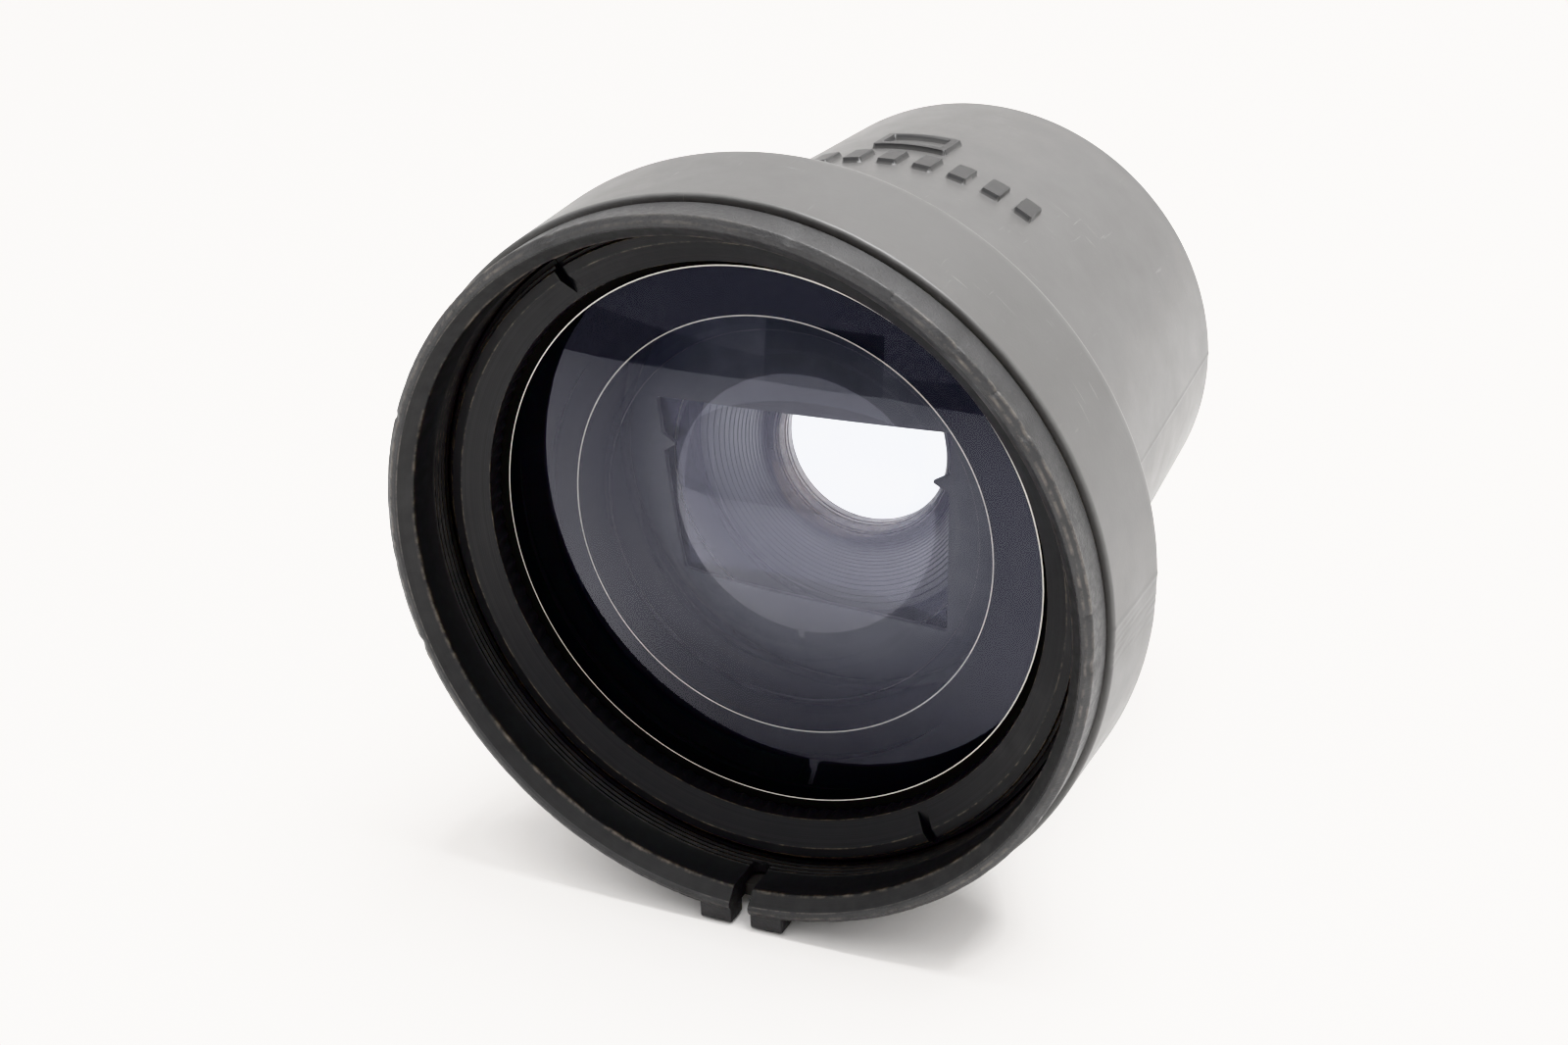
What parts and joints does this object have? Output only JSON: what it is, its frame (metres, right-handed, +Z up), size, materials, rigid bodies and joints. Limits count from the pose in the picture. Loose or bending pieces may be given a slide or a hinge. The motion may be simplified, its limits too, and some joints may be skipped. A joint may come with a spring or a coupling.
{
  "type": "optical viewfinder",
  "caption": "Shoe-mounted wide-angle optical viewfinder: hooded front lens, stepped rubber-covered barrel, round eyepiece and a shoe foot with a knurled lock ring.",
  "frame": {"origin": "centre of the shoe foot's sole, directly below the optical axis", "axes": "+Z up, away from the shoe; +Y along the optical axis towards the eyepiece, so the front rim faces -Y; +X completes the right-handed frame"},
  "size_m": [0.0684, 0.067, 0.0692],
  "materials": {
    "housing": "fine-textured satin black paint over turned aluminium, worn to a bronze tint on the front edge",
    "armour": "matte black moulded rubber, scuffed, with mould lines on both sides",
    "anodised_ring": "satin black anodised, with turning marks",
    "inner_black": "matte black anodised",
    "baffle": "matte black, ribbed",
    "front_glass": "polished glass with a violet coating",
    "inner_glass": "polished glass with a blue-violet coating",
    "eye_glass": "polished glass with a faint coating",
    "seal": "smooth black rubber",
    "eyecup": "soft matte black rubber",
    "pedestal": "satin black paint",
    "screws": "stainless steel, turned",
    "foot_metal": "satin stamped stainless steel",
    "stem_metal": "turned stainless steel",
    "lock_ring": "black anodised, knurled"
  },
  "bodies": {
    "finder_body": {"main_housing": "housing", "rubber_armour": "armour", "front_retaining_ring": "anodised_ring", "front_lens": "front_glass", "front_lens_o_ring": "seal", "mask_retaining_ring": "inner_black", "field_mask": "inner_black", "second_lens": "inner_glass", "light_baffle": "baffle", "eyepiece_cell": "inner_black", "eye_lens_inner": "inner_glass", "eye_lens_spacer": "inner_black", "eye_lens_outer": "eye_glass", "eye_lens_retaining_ring": "anodised_ring", "eyepiece_o_ring": "seal", "rear_bezel": "anodised_ring", "eyecup_ring": "eyecup", "foot_pedestal": "pedestal", "pedestal_screw_1": "screws", "pedestal_screw_2": "screws", "pedestal_screw_3": "screws", "pedestal_screw_4": "screws", "foot_plate": "foot_metal", "foot_stem": "stem_metal"},
    "pressure_plate": {"pressure_plate": "foot_metal"},
    "lock_ring": {"lock_ring": "lock_ring"}
  },
  "joints": [
    {"name": "pressure_plate_slide", "type": "slide", "parent": "finder_body", "child": "pressure_plate", "axis": [0, 0, -1], "range_m": [0, 0.00075]},
    {"name": "lock_ring_turn", "type": "hinge", "parent": "pressure_plate", "child": "lock_ring", "pos_m": [0, 0, 0.0069], "axis": [0, 0, -1], "range_deg": [0, 540]}
  ],
  "couplings": [
    {"joint": "lock_ring_turn", "follows": "pressure_plate_slide", "rad_per_m": 12566}
  ]
}
